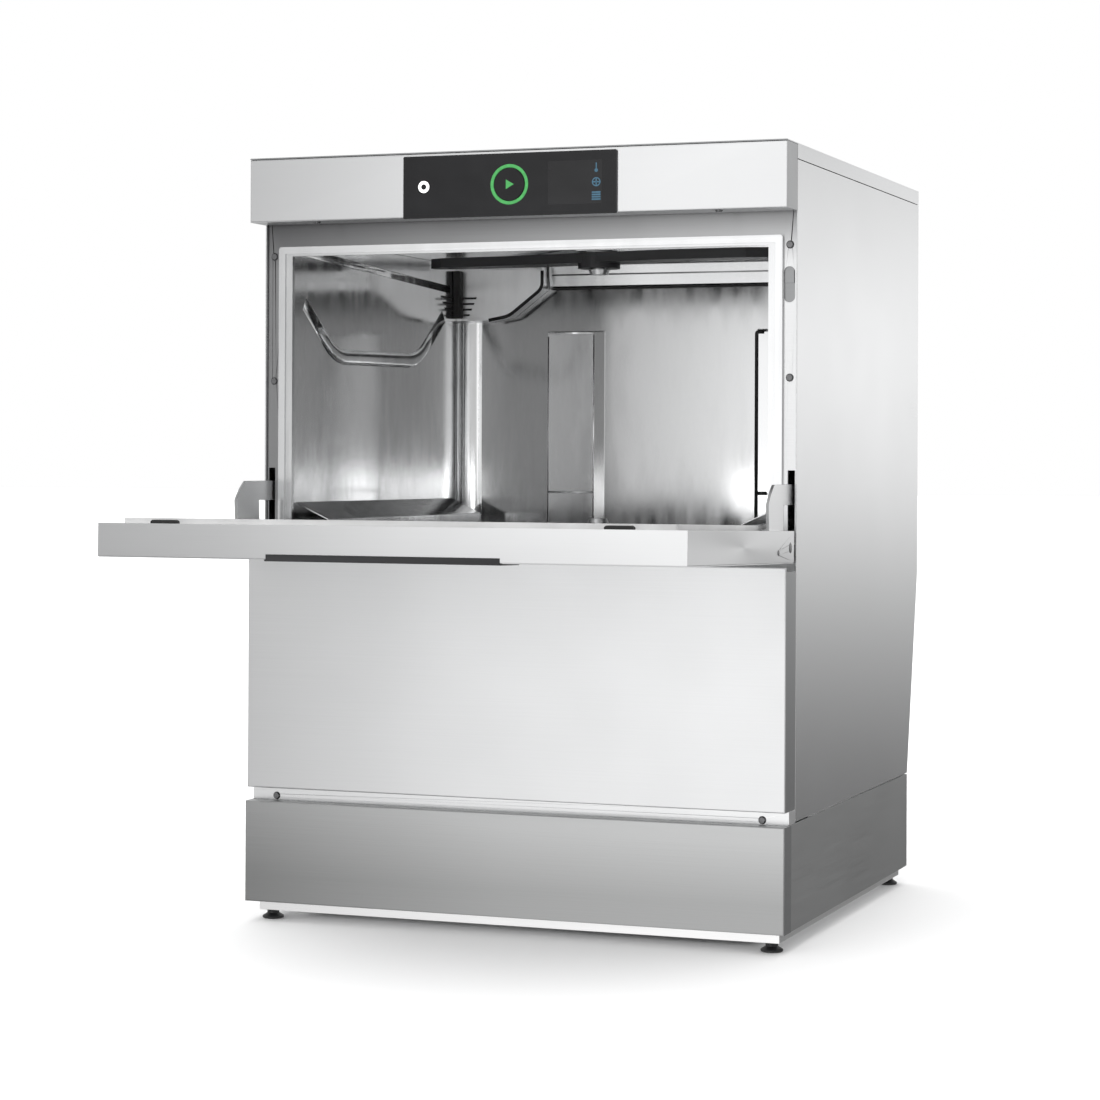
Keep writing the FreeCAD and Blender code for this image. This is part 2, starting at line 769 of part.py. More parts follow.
def make_rack_rails():
    """Sloping rails that carry the rack, bent down at their inner edge."""
    wall, inner = D["chamber_half"] - 0.2, 234.5
    rails = []
    for side in (-1, 1):
        body = new_body("rack_rail")
        outline = [(wall, 449.5), (inner, 431.2), (inner, 416),
                   (inner + 1.5, 416), (inner + 1.5, 430.2), (wall, 447.8)]
        add_pad(body, "Y", 62, 505, [[(side * size(across), up) for across, up in outline]])
        rails.append(body)
    at_case(group(*rails), "rack_rails")


def make_supply_duct():
    """Water duct: a hood in the rear left corner and a flat channel to the upper hub."""
    top, wall = D["chamber_top"], D["chamber_half"] - 0.3
    back = D["chamber_back"] - 0.3
    body = new_body("supply_duct")
    hood = [(-wall, 670), (-232, 670), (-205, 675), (-160, 709), (-160, top), (-wall, top)]
    add_pad(body, "Y", 520, back, [hood])
    round_edges(body, (Z_AXIS,), D["chamber_radius"].value - 0.1,
                lambda point: point.x < -270 and point.y > 540)
    add_pad(body, "Z", top - 6.5, top, [[
        (-240, 521), (-178, 521), (22, 290), (22, 262), (-22, 262), (-22, 285)]])
    at_case(body, "supply_duct")


def make_spindles():
    """Fixed spindles that carry the two spray arms."""
    axis = (0, D["arm_centre_y"])
    radius, top, floor = D["spindle_radius"], D["chamber_top"], D["tank_floor"]
    upper = new_body("upper_arm_spindle")
    level = top - 7
    add_revolution(upper, "Z", axis, [
        (0, level), (18, level), (18, level - 1.2), (radius, level - 1.2), (radius, level - 20.6),
        (12, level - 20.6), (10, level - 26), (0, level - 26)])
    at_case(upper, "upper_arm_spindle")
    lower = new_body("lower_arm_spindle")
    add_revolution(lower, "Z", axis, [
        (0, floor - 20), (12, floor - 20), (12, 403.5), (radius, 403.5), (radius, 426),
        (12, 426), (10, 431), (0, 431)])
    at_case(lower, "lower_arm_spindle")


def make_spray_arm(name, low, hub_low, hub_high, jet_low, jet_high, turn):
    """Two swept blades on a hub; their jets face the rack. The blades stand at an angle."""
    body = new_body(name)
    reach = D["arm_radius"]
    blade = [(0.0, -0.10), (0.42, -0.125), (0.86, -0.085), (0.985, -0.03), (0.985, 0.035),
             (0.90, 0.075), (0.50, 0.06), (0.0, 0.10)]
    other = [(-across, -up) for across, up in blade]
    outline = [(reach * across, reach * up) for across, up in blade[:-1] + other[:-1]]
    add_pad(body, "Z", low, low + 11, [outline])
    round_edges(body, (Z_AXIS,), 5, lambda point: abs(point.x) > 150)
    add_pad(body, "Z", hub_low, hub_high, [], [((0, 0), 24)])
    add_pocket(body, "Z", hub_low - 1, hub_high + 1, circles=[((0, 0), D["arm_bore_radius"])])
    jets = [((side * reach * share, 0), 2.2) for side in (-1, 1) for share in (0.3, 0.5, 0.7, 0.88)]
    add_pocket(body, "Z", jet_low, jet_high, circles=jets)
    body.Placement.Rotation = FreeCAD.Rotation(Z_AXIS, turn)
    bind(body, "Placement.Base.y", FRONT_Y + D["arm_centre_y"])
    keep(body, name)


# ---------------------------------------------------------------- machinery

def make_machinery():
    """Pumps, heaters and electrics in the space under the tank."""
    volute = part_cylinder((44, 330, 108), 68, 42, X_AXIS)
    wash_pump = fuse(part_cylinder((-118, 330, 108), 52, 160, X_AXIS),
                     part_cylinder((42, 330, 108), 58, 2, X_AXIS), volute,
                     part_cylinder((86, 330, 108), 20, 18, X_AXIS),
                     part_cylinder((65, 330, 170), 15, 24),
                     part_box((-90, 20), (300, 360), (50, 62)))
    at_case(wash_pump, "wash_pump")
    drain_pump = fuse(part_cylinder((205, 290, 75), 28, 70, Y_AXIS),
                      part_cylinder((205, 262, 75), 36, 28, Y_AXIS),
                      part_box((190, 220), (300, 350), (40, 50)))
    at_case(drain_pump, "drain_pump")
    vessel = fuse(part_cylinder((-205, 150, 64), 66, 180),
                  part_cone((-205, 150, 244), 66, 40, 14),
                  part_cone((-205, 150, 50), 40, 66, 14),
                  part_cylinder((-205, 150, 258), 12, 14))
    at_case(cut(vessel, part_cylinder((-205, 150, 66), 63.5, 176)), "booster_heater")
    rinse_pump = fuse(part_cylinder((-205, 300, 80), 32, 90, Y_AXIS),
                      part_cylinder((-205, 278, 80), 38, 22, Y_AXIS),
                      part_box((-222, -188), (310, 370), (40, 50)))
    at_case(rinse_pump, "rinse_pump")
    dosing = []
    for front in (150, 215):
        dosing.append(fuse(part_box((215, 255), (front, front + 50), (150, 205)),
                           part_cylinder((193, front + 25, 178), 21, 22, X_AXIS)))
    at_case(group(*dosing), "dosing_pumps")
    box = cut(part_box((60, 180), (60, 110), (30, 120)), part_box((62, 178), (62, 108), (32, 118)))
    blocks = [part_box((70 + 20 * index, 85 + 20 * index), (80, 100), (32, 60)) for index in range(5)]
    at_case(fuse(box, *blocks), "terminal_box")


def make_hoses():
    """Suction hose, riser to the upper duct, and the tank's heating element."""
    axis_x, axis_y, floor = D["basket_x"].value, D["basket_y"].value, D["tank_floor"].value
    suction = tube([(axis_x, axis_y, floor - 38.4), (axis_x, axis_y, floor - 90),
                    (axis_x + 24, 250, 130), (axis_x + 30, 330, 108), (104.4, 330, 108)], 17)
    riser = tube([(65, 330, 194.4), (65, 330, 236), (-60, 430, 250), (-170, 505, 268),
                  (-215, 548, 330), (-215, 560.4, 410), (-215, 560.4, 715)], 10.5)
    feature("wash_hoses", Part.makeCompound([suction, riser]))
    level = floor + 13
    loop = [(-40, 170, level), (-40, 385, level), (-140, 385, level), (-140, 170, level)]
    feature("tank_heater", tube(loop, 4.2))


def make_rear_fittings():
    """Water inlet valve, drain spigot and cable gland, all inside the chamfer's depth."""
    across, level, radius = D["inlet_x"], D["inlet_z"], D["inlet_radius"]
    rear = rear_line(level)
    valve = fuse(part_box((across - 20, across + 20), (rear - 62, rear - 14), (level - 24, level + 24)),
                 part_cylinder((across, rear - 14, level), radius + 5, 8, Y_AXIS),
                 part_cylinder((across, rear - 6, level), radius, 30, Y_AXIS))
    bore = part_cylinder((across, rear - 4, level), 8, 40, Y_AXIS)
    at_case(cut(valve, bore), "inlet_valve")
    across, level, radius = D["drain_x"], D["drain_z"], D["drain_radius"]
    rear = rear_line(level)
    spigot = fuse(part_cylinder((across, rear - 40, level), radius, 70, Y_AXIS),
                  part_cylinder((across, rear - 14, level), radius + 6, 6, Y_AXIS))
    at_case(cut(spigot, part_cylinder((across, rear - 41, level), radius - 2, 72, Y_AXIS)),
            "drain_spigot")
    across, level, radius = D["gland_x"], D["gland_z"], D["gland_bore"]
    rear = rear_line(level)
    body = fuse(part_cylinder((across, rear - 18, level), radius + 2, 36, Y_AXIS),
                part_cylinder((across, rear - 18, level), radius + 6, 6, Y_AXIS),
                part_cylinder((across, rear + 5, level), radius + 5, 9, Y_AXIS))
    at_case(cut(body, part_cylinder((across, rear - 19, level), radius, 38, Y_AXIS)), "cable_gland")


# ---------------------------------------------------------------- door

def make_door_skins():
    """Outer pan and inner plate; both are notched where the hinge brackets pass."""
    low, high, depth = D["door_bottom"], D["door_top"], D["door_thickness"]
    notch = D["arm_plate_x"] + 4
    pivot = (D["pivot_y"], D["pivot_z"])
    grip = D["grip_half"] - 1.5
    outer = pan("door_outer_skin", HALF, low, high, size(0), depth, at_door)
    for side in (-1, 1):
        near, far = (notch, HALF - GAUGE) if side > 0 else (-(HALF - GAUGE), -notch)
        add_pocket(outer, "Y", 4, depth + 1, [rectangle(near, far, low - 1, low + GAUGE + 0.2)])
        start = HALF - 2 if side > 0 else -HALF - 1
        holes = [(pivot, D["pin_radius"] + D["pin_clearance"]), ((11, 453), 2.1)]
        add_pocket(outer, "X", start, start + 3, circles=holes)
    add_pocket(outer, "Y", -1, GAUGE + 0.5, [band(grip, high - 44, high + 1)])
    add_pocket(outer, "Y", -1, 5, [band(grip, high - GAUGE - 0.5, high + 1)])
    inner = new_body("door_inner_skin")
    side = HALF - GAUGE - 0.3
    outline = [(-notch, low + 1.6), (notch, low + 1.6), (notch, 424), (side, 424),
               (side, high - 1.6), (-side, high - 1.6), (-side, 424), (-notch, 424)]
    add_pad(inner, "Y", depth - GAUGE, depth, [outline])
    add_pad(inner, "Y", depth - 7, depth - GAUGE,
            [band(262, 436, 708), band(262 - GAUGE, 436 + GAUGE, 708 - GAUGE)])
    add_pad(inner, "Y", depth - 7 - GAUGE, depth - 7, [band(262, 436, 708)])
    add_pocket(inner, "Y", depth - 7, depth + 1, [band(262 - GAUGE, 436 + GAUGE, 708 - GAUGE)])
    at_door(inner, "door_inner_skin")


def make_door_gasket():
    """Rubber seal that meets the bead round the opening."""
    depth = D["door_thickness"]
    half, top, low = D["profile_half"] - 0.5, D["profile_top"] - 0.5, D["profile_bottom"] + 0.5
    wide = D["bead_width"] - 1
    height = D["door_frame_front"] - D["bead_height"] - 0.2
    body = new_body("door_gasket")
    add_pad(body, "Y", depth + 0.02, height,
            [band(half, low, top), band(half - wide, low + wide, top - wide)])
    round_edges(body, (Y_AXIS,), 2.5, lambda point: abs(abs(point.x) - half.value) < 0.01)
    at_door(body, "door_gasket")


def make_door_grip():
    """Moulded grip: a finger pocket in the door's face, wrapped over its top edge."""
    half, high = D["grip_half"], D["door_top"]
    low = high - 46
    body = new_body("door_grip")
    add_pad(body, "Y", -1.5, 0, [band(half, low, high)])
    add_pad(body, "Y", 0, 20, [band(half - 3, low + 3, high - 2.4)])
    add_pad(body, "Y", 0, 5, [band(half - 1.7, high - 2.4, high)])
    add_pocket(body, "Y", -2.5, 17.8, [band(half - 5.2, low + 5.2, high - 4.6)])
    round_edges(body, (X_AXIS, Z_AXIS), 0.7,
                lambda point: abs(point.y + 1.5) < 0.01
                and (point.z > high.value - 1 or abs(point.x) > 120))
    at_door(body, "door_grip")


def make_door_arms():
    """Quadrant arms on the door: they pass through the frame's slots and pull the springs."""
    plate_x, thick = D["arm_plate_x"], D["arm_plate_gauge"]
    face = D["door_thickness"] + 0.02
    pivot_y, pivot_z = D["pivot_y"], D["pivot_z"]
    reach = 75
    arc = []
    for angle in (55.3, 49.5, 44, 38.5, 33):
        turn = math.radians(angle)
        arc.append((pivot_y + reach * math.cos(turn), pivot_z + reach * math.sin(turn)))
    outline = ([(face, 416), (face, 468)] + arc
               + [(pivot_y + 65, pivot_z - 41), (pivot_y + 43.5, pivot_z - 41),
                  (pivot_y + 43, pivot_z + 9)])
    arms = []
    for side in (-1, 1):
        start = plate_x if side > 0 else -(plate_x + thick)
        foot = (plate_x - 6, plate_x) if side > 0 else (-plate_x, -(plate_x - 6))
        body = new_body("door_arm")
        add_pad(body, "X", start, start + thick, [outline], [((70, 375), 2.2)])
        add_pad(body, "X", foot[0], foot[1], [rectangle(face, face + 1.5, 430, 466)])
        arms.append(body)
    at_door(group(*arms), "door_arms")


def make_hinges():
    """Brackets on the case with a bore each, and the shoulder pins that ride on the door."""
    near, far = D["arm_plate_x"] + 4.5, D["arm_plate_x"] + 6.5
    front = D["door_frame_front"]
    pivot = (D["pivot_y"], D["pivot_z"])
    pin = D["pin_radius"]
    brackets = []
    pins = []
    for side in (-1, 1):
        body = new_body("bracket")
        start = near if side > 0 else -far
        foot = (near - 10, near) if side > 0 else (-near, -(near - 10))
        add_pad(body, "X", start, start + (far - near), [rectangle(16, front, 399, 411.5)])
        add_pad(body, "X", start, start + (far - near), [], [(pivot, 9)])
        add_pad(body, "X", foot[0], foot[1], [rectangle(front - 1.5, front, 399, 411.5)])
        add_pocket(body, "X", start - 1, start + 4, circles=[(pivot, pin + D["pin_clearance"])])
        brackets.append(body)
        pins.append(screw((side * HALF, pivot[0], pivot[1]), X_AXIS * side, 5.5, 0.5, pin, 5.2))
    at_case(group(*brackets), "hinge_brackets")
    at_door(group(*pins), "hinge_pins")


def make_springs():
    """Two extension springs that balance the open door."""
    top, foot, coil, wire, turns = 452.0, 262.0, 4.6, 0.8, 26
    springs = []
    for side in (-1, 1):
        helix = Part.makeHelix((top - foot) / turns, top - foot, coil)
        ring = Part.Wire(Part.makeCircle(wire, FreeCAD.Vector(coil, 0, 0), Y_AXIS))
        spring = Part.Wire(helix).makePipeShell([ring], True, True)
        spring.translate(FreeCAD.Vector(side * 284.8, 52, foot))
        springs.append(spring)
    feature("door_springs", Part.makeCompound(springs))


def make_fasteners():
    """Screws of the case, the door and the latch catch."""
    front, head, shank, length = D["door_frame_front"], 4.2, 2, 6
    screws = []
    for side in (-1, 1):
        for level in (717, 581.5):
            screws.append(screw((side * 291, front, level), -Y_AXIS, head, 1.8, shank, length))
        screws.append(screw((side * 272, D["rail_front"], 133.5), -Y_AXIS, head, 2.2, shank, length))
        screws.append(screw((side * 225, 10, D["header_bottom"]), -Z_AXIS, head, 1.8, shank, length))
    at_case(group(*screws), "case_screws")
    flange = [screw((side * HALF, 11, 453), X_AXIS * side, 3.2, 0.5, 2, 4) for side in (-1, 1)]
    at_door(group(*flange), "door_screws")
    body = new_body("latch_catch")
    back = front + GAUGE + 0.2
    add_pad(body, "Y", back, back + 3, [rectangle(280, 298, 655, 700)])
    add_pad(body, "Y", back - 1.2, back, [rectangle(285.4, 295.2, 678, 691)])
    at_case(body, "latch_catch")


# ---------------------------------------------------------------- the whole machine

def build():
    make_top_cover()
    make_header()
    make_control_panel()
    make_side_panels()
    make_rear_panel()
    make_lower_front()
    make_base_panels()
    make_base_frame()
    make_feet()
    make_door_frame()
    make_opening_profile()
    make_chamber_walls()
    make_tank()
    make_strainers()
    make_rack_rails()
    make_supply_duct()
    make_spindles()
    upper = D["chamber_top"] - 20
    make_spray_arm("upper_spray_arm", upper, upper - 6, upper + 11.6, upper - 1, upper + 5, -8)
    lower = 409
    make_spray_arm("lower_spray_arm", lower, lower - 5, lower + 16, lower + 6, lower + 12, 35)
    make_machinery()
    make_hoses()
    make_rear_fittings()
    make_door_skins()
    make_door_gasket()
    make_door_grip()
    make_door_arms()
    make_hinges()
    make_springs()
    make_fasteners()
    DOC.recompute()


def check():
    """Stop when any object of the document failed or any sub-part has no sound shape."""
    for item in DOC.Objects:
        if "Invalid" in item.State or "Error" in item.State:
            raise RuntimeError("%s (%s) failed: %s" % (item.Name, item.Label, item.State))
    for name, item in PARTS.items():
        if item.Shape.isNull() or not item.Shape.isValid():
            raise RuntimeError(name + " has no valid shape")


def write():
    os.makedirs("parts", exist_ok=True)
    for name, item in PARTS.items():
        item.Shape.exportStep("parts/%s.step" % name)
    print(len(PARTS), "sub-parts written")


build()
check()
write()
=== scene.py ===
import json
import math

import bmesh
import bpy
from mathutils import Matrix, Vector


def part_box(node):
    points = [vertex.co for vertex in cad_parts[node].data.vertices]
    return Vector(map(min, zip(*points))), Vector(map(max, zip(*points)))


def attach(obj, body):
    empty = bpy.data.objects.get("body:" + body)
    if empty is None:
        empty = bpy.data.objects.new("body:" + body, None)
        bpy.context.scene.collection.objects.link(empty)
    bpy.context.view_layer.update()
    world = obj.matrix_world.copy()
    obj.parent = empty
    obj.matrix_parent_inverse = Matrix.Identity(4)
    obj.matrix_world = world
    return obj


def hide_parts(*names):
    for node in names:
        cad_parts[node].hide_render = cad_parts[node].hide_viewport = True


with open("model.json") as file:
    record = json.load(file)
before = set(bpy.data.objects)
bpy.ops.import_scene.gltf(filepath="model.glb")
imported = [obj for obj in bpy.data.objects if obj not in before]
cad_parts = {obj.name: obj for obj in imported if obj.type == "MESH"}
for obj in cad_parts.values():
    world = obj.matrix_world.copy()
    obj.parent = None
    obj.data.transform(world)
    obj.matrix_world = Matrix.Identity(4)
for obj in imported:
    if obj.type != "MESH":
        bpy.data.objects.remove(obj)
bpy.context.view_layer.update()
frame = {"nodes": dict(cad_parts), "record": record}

record = frame["record"]
BODY_OF = {node: body for body, nodes in record["behaviour"]["bodies"].items() for node in nodes}
SLOT_OF = {part["node"]: part["material_slot"] for part in record["subparts"]}
FACE_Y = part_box("header_panel")[0].y
MM = 0.001


def case(across, depth, level):
    """A point of the case's own frame in millimetres (0 on the header's face), in the row frame."""
    return Vector((across * MM, FACE_Y + depth * MM, level * MM))


# ------------------------------------------------------------------ materials

class Paint:
    """A node material under construction, with its Principled shader."""

    def __init__(self, name, **sockets):
        self.material = bpy.data.materials.new(name)
        self.material.use_nodes = True
        self.nodes = self.material.node_tree.nodes
        self.links = self.material.node_tree.links
        self.shader = self.nodes["Principled BSDF"]
        for socket, value in sockets.items():
            self.shader.inputs[socket.replace("_", " ")].default_value = value
        self.coords = self.nodes.new("ShaderNodeTexCoord").outputs["Object"]

    def noise(self, scale, detail=4.0, roughness=0.55):
        """Noise over the object's own place; scale is cycles per metre along X, Y and Z."""
        mapping = self.nodes.new("ShaderNodeMapping")
        mapping.inputs["Scale"].default_value = scale
        noise = self.nodes.new("ShaderNodeTexNoise")
        noise.inputs["Scale"].default_value = 1.0
        noise.inputs["Detail"].default_value = detail
        noise.inputs["Roughness"].default_value = roughness
        self.links.new(self.coords, mapping.inputs["Vector"])
        self.links.new(mapping.outputs["Vector"], noise.inputs["Vector"])
        return noise.outputs["Fac"]

    def ramp(self, value, low, high, from_low=0.3, from_high=0.7):
        """Map a noise value to a number range."""
        node = self.nodes.new("ShaderNodeMapRange")
        for name, number in zip(("From Min", "From Max", "To Min", "To Max"),
                                (from_low, from_high, low, high)):
            node.inputs[name].default_value = number
        self.links.new(value, node.inputs["Value"])
        return node.outputs["Result"]

    def span(self, axis, low, high, start, end):
        """Map the place along an axis, start to end in metres, to a number range."""
        split = self.nodes.new("ShaderNodeSeparateXYZ")
        self.links.new(self.coords, split.inputs[0])
        return self.ramp(split.outputs[axis], low, high, start, end)

    def math(self, operation, first, second):
        node = self.nodes.new("ShaderNodeMath")
        node.operation = operation
        for socket, value in zip(node.inputs, (first, second)):
            if isinstance(value, (int, float)):
                socket.default_value = value
            else:
                self.links.new(value, socket)
        return node.outputs[0]

    def mix(self, factor, first, second):
        """Blend two colours, or a colour and the output of another mix."""
        node = self.nodes.new("ShaderNodeMix")
        node.data_type = "RGBA"
        self.links.new(factor, node.inputs["Factor"])
        for socket, value in ((node.inputs[6], first), (node.inputs[7], second)):
            if isinstance(value, tuple):
                socket.default_value = (*value, 1.0)
            else:
                self.links.new(value, socket)
        return node.outputs[2]

    def edges(self):
        """1 on worn convex edges, 0 elsewhere."""
        geometry = self.nodes.new("ShaderNodeNewGeometry")
        return self.ramp(geometry.outputs["Pointiness"], 0.0, 1.0, 0.52, 0.6)

    def bump(self, height, strength, distance):
        node = self.nodes.new("ShaderNodeBump")
        node.inputs["Strength"].default_value = strength
        node.inputs["Distance"].default_value = distance
        self.links.new(height, node.inputs["Height"])
        self.links.new(node.outputs["Normal"], self.shader.inputs["Normal"])

    def smear(self, amount):
        """Smear reflections along Y and Z, across a grain that runs along X."""
        tangent = self.nodes.new("ShaderNodeTangent")
        tangent.direction_type = "RADIAL"
        tangent.axis = "X"
        self.shader.inputs["Anisotropic"].default_value = amount
        self.links.new(tangent.outputs[0], self.shader.inputs["Tangent"])

    def to(self, socket, value):
        self.links.new(value, self.shader.inputs[socket])


def shade(colour, factor):
    return tuple(min(1.0, channel * factor) for channel in colour)


def brushed_steel(name, colour, grain, roughness=0.3, spread=0.06, contrast=0.05, directional=0.0):
    """Grained stainless sheet: fine streaks, faint smudges and brighter worn edges. A directional
    sheet smears its reflections across its grain."""
    paint = Paint(name, Metallic=1.0)
    if directional:
        paint.smear(directional)
    streak = paint.noise(grain, 5.0, 0.65)
    smudge = paint.noise((5.0, 5.0, 5.0), 3.0)
    body = paint.mix(paint.ramp(streak, 0.0, 1.0), shade(colour, 1 - contrast), shade(colour, 1 + contrast))
    cloud = paint.mix(paint.ramp(smudge, 0.0, 0.08), body, shade(colour, 0.85))
    paint.to("Base Color", paint.mix(paint.edges(), cloud, shade(colour, 1.12)))
    rough = paint.math("ADD", paint.ramp(streak, roughness - spread / 2, roughness + spread / 2),
                       paint.ramp(smudge, -0.01, 0.02))
    paint.to("Roughness", rough)
    paint.bump(streak, 0.05, 0.0002)
    return paint.material


def shaded_steel(name, shade_colour, lit_colour, roughness, across, height):
    """Grained sheet with painted shade: across and height give how lit it is along X and Z, from the dark
    colour up to the lit one.
    """
    paint = Paint(name, Metallic=1.0)
    paint.smear(0.9)
    streak = paint.noise(ALONG_X, 5.0, 0.65)
    share = paint.math("MULTIPLY", paint.span("X", *across), paint.span("Z", *height))
    share = paint.math("MULTIPLY", share, paint.ramp(streak, 0.95, 1.05))
    # painted shade: the dark colour takes over where the sheet is taken as less lit
    paint.to("Base Color", paint.mix(share, shade_colour, lit_colour))
    paint.to("Roughness", paint.ramp(streak, roughness - 0.03, roughness + 0.03))
    paint.bump(streak, 0.05, 0.0002)
    return paint.material


def polished_steel(name, colour, roughness=0.12, wave=0.35, shade_across=None):
    """Bright chamber sheet: slightly wavy, with faint drying marks. The painted shade, if any,
    gives how much of the sheet's colour shows along X; the rest is painted black shade."""
    paint = Paint(name, Metallic=1.0)
    wavy = paint.noise((7.0, 7.0, 4.0), 2.0, 0.4)
    marks = paint.noise((60.0, 60.0, 14.0), 5.0)
    body = paint.mix(paint.ramp(marks, 0.0, 1.0), shade(colour, 0.93), shade(colour, 1.04))
    if shade_across:
        # painted shade: mixes the sheet towards black along X
        body = paint.mix(paint.span("X", *shade_across), (0.0, 0.0, 0.0), body)
    paint.to("Base Color", paint.mix(paint.edges(), body, shade(colour, 1.15)))
    paint.to("Roughness", paint.ramp(marks, roughness - 0.03, roughness + 0.06))
    paint.bump(wavy, wave, 0.004)
    return paint.material


def plastic(name, colour, roughness, grain=900.0, bump=0.25):
    """Moulded plastic or rubber: fine spark texture, uneven cloudy tone, polished edges."""
    paint = Paint(name)
    fine = paint.noise((grain, grain, grain), 3.0)
    cloud = paint.noise((18.0, 18.0, 18.0), 3.0)
    body = paint.mix(paint.ramp(cloud, 0.0, 1.0), shade(colour, 0.85), shade(colour, 1.2))
    paint.to("Base Color", paint.mix(paint.edges(), body, shade(colour, 1.9)))
    paint.to("Roughness", paint.ramp(cloud, roughness - 0.05, roughness + 0.07))
    paint.bump(fine, bump, 0.00015)
    return paint.material


def printed_glass(name, colour, roughness):
    """Glass printed black on its back: deep gloss with faint finger marks."""
    paint = Paint(name, IOR=1.5, Specular_IOR_Level=0.34)
    marks = paint.noise((45.0, 45.0, 45.0), 4.0)
    wide = paint.noise((9.0, 9.0, 30.0), 2.0)
    paint.to("Base Color", paint.mix(paint.ramp(wide, 0.0, 1.0), shade(colour, 0.8), shade(colour, 1.25)))
    paint.to("Roughness", paint.ramp(marks, roughness, roughness + 0.1))
    paint.bump(wide, 0.05, 0.0005)
    return paint.material


def lit(name, colour, strength):
    """A light guide or printed symbol that glows; slightly uneven, as its lamps are."""
    paint = Paint(name, Emission_Strength=strength, Roughness=0.35)
    cloud = paint.noise((220.0, 220.0, 220.0), 2.0)
    glow = paint.mix(paint.ramp(cloud, 0.0, 1.0), shade(colour, 0.85), shade(colour, 1.1))
    paint.to("Base Color", glow)
    paint.to("Emission Color", glow)
    return paint.material


def cast_metal(name, colour, roughness):
    """Cast or plated fittings with a fine granular skin."""
    paint = Paint(name, Metallic=1.0)
    grain = paint.noise((420.0, 420.0, 420.0), 4.0)
    cloud = paint.noise((25.0, 25.0, 25.0), 3.0)
    body = paint.mix(paint.ramp(cloud, 0.0, 1.0), shade(colour, 0.88), shade(colour, 1.08))
    paint.to("Base Color", paint.mix(paint.edges(), body, shade(colour, 1.25)))
    paint.to("Roughness", paint.ramp(grain, roughness - 0.06, roughness + 0.08))
    paint.bump(grain, 0.2, 0.0002)
    return paint.material


ALONG_X = (8.0, 1300.0, 1300.0)
ALONG_Y = (1300.0, 8.0, 1300.0)
FRONT = brushed_steel("front_panel_steel", (0.82, 0.825, 0.83), ALONG_X, 0.3, 0.025, 0.015, 0.6)
HEADER = brushed_steel("header_steel", (0.74, 0.745, 0.75), ALONG_X, 0.3, 0.03, 0.025, 0.6)
# painted shade: a darker steel for folded returns and the top cover's front lip, standing for their shade
RETURN_SHADE = brushed_steel("folded_return_shade_steel", (0.36, 0.365, 0.37), ALONG_Y, 0.34)
# painted shade: a darker steel for the header's sides, the arms' edges and lines along the ribs and the
# coving
RECESS_SHADE = brushed_steel("recess_shade_steel", (0.42, 0.425, 0.43), ALONG_Y, 0.35)
SIDE = brushed_steel("side_panel_steel", (0.76, 0.765, 0.77), ALONG_Y, 0.25, 0.025, 0.02)
TOP = brushed_steel("top_cover_steel", (0.76, 0.765, 0.77), ALONG_X, 0.3)
# painted shade on the plinth's front and rear: darker towards the left and towards the floor
PLINTH = shaded_steel("plinth_steel", (0.10, 0.10, 0.10), (0.62, 0.625, 0.625), 0.36,
                     (0.84, 1.0, -0.29, 0.0), (0.66, 1.08, 0.05, 0.13))
PLINTH_SIDE = brushed_steel("plinth_side_steel", (0.50, 0.505, 0.505), ALONG_Y, 0.33, 0.1, 0.09)
LINER = polished_steel("chamber_steel", (0.90, 0.905, 0.91), 0.12, 0.22)
DUCT = polished_steel("duct_steel", (0.94, 0.945, 0.95), 0.34, 0.1)
# painted shade on the back wall: darker towards the left
BACK_WALL = polished_steel("back_wall_steel", (0.74, 0.745, 0.75), 0.13, 0.22, (0.46, 1.0, -0.08, 0.22))
PROFILE = polished_steel("opening_profile_steel", (0.74, 0.745, 0.75), 0.2, 0.05)
RAIL = polished_steel("rail_steel", (0.80, 0.805, 0.81), 0.14, 0.1)
# painted shade on the door frame: darker towards the left and under the header
FRAME = shaded_steel("door_frame_steel", (0.10, 0.10, 0.105), (0.90, 0.905, 0.91), 0.36,
                    (0.38, 1.0, -0.29, 0.26), (1.0, 0.34, 0.700, 0.750))
HIDDEN = brushed_steel("bare_sheet_steel", (0.60, 0.605, 0.61), ALONG_X, 0.36)
BACK = brushed_steel("rear_panel_steel", (0.76, 0.765, 0.77), ALONG_X, 0.28, 0.03, 0.02)
LATCH = brushed_steel("latch_steel", (0.34, 0.345, 0.35), ALONG_X, 0.3)
BRIGHT = brushed_steel("bright_strip_steel", (0.90, 0.905, 0.91), ALONG_X, 0.3)
ARM = brushed_steel("arm_plate_steel", (0.96, 0.965, 0.97), ALONG_Y, 0.34, 0.03, 0.02)
SCREW = cast_metal("screw_steel", (0.20, 0.20, 0.205), 0.28)
GLASS = printed_glass("black_printed_glass", (0.006, 0.006, 0.007), 0.14)
SCREEN = printed_glass("display_glass", (0.011, 0.011, 0.012), 0.1)
BUTTON = printed_glass("button_gloss", (0.004, 0.004, 0.005), 0.16)
GREEN = lit("green_ring_glow", (0.04, 0.235, 0.06), 0.75)
WHITE = lit("white_symbol", (0.95, 0.95, 0.95), 0.6)
BLUE = lit("blue_symbol", (0.03, 0.085, 0.13), 0.6)
BLACK = plastic("black_plastic", (0.012, 0.012, 0.013), 0.42)
RUBBER = plastic("black_rubber", (0.010, 0.010, 0.010), 0.6, 1400.0, 0.35)
SEAL = plastic("silicone_seal", (0.50, 0.50, 0.50), 0.45, 1400.0, 0.3)
BOARD = plastic("circuit_board_green", (0.02, 0.16, 0.06), 0.5, 300.0)
GREY = plastic("grey_moulding", (0.42, 0.43, 0.45), 0.45)
MOTOR = cast_metal("motor_casting", (0.40, 0.41, 0.43), 0.45)
BRASS = cast_metal("plated_brass", (0.62, 0.47, 0.24), 0.3)

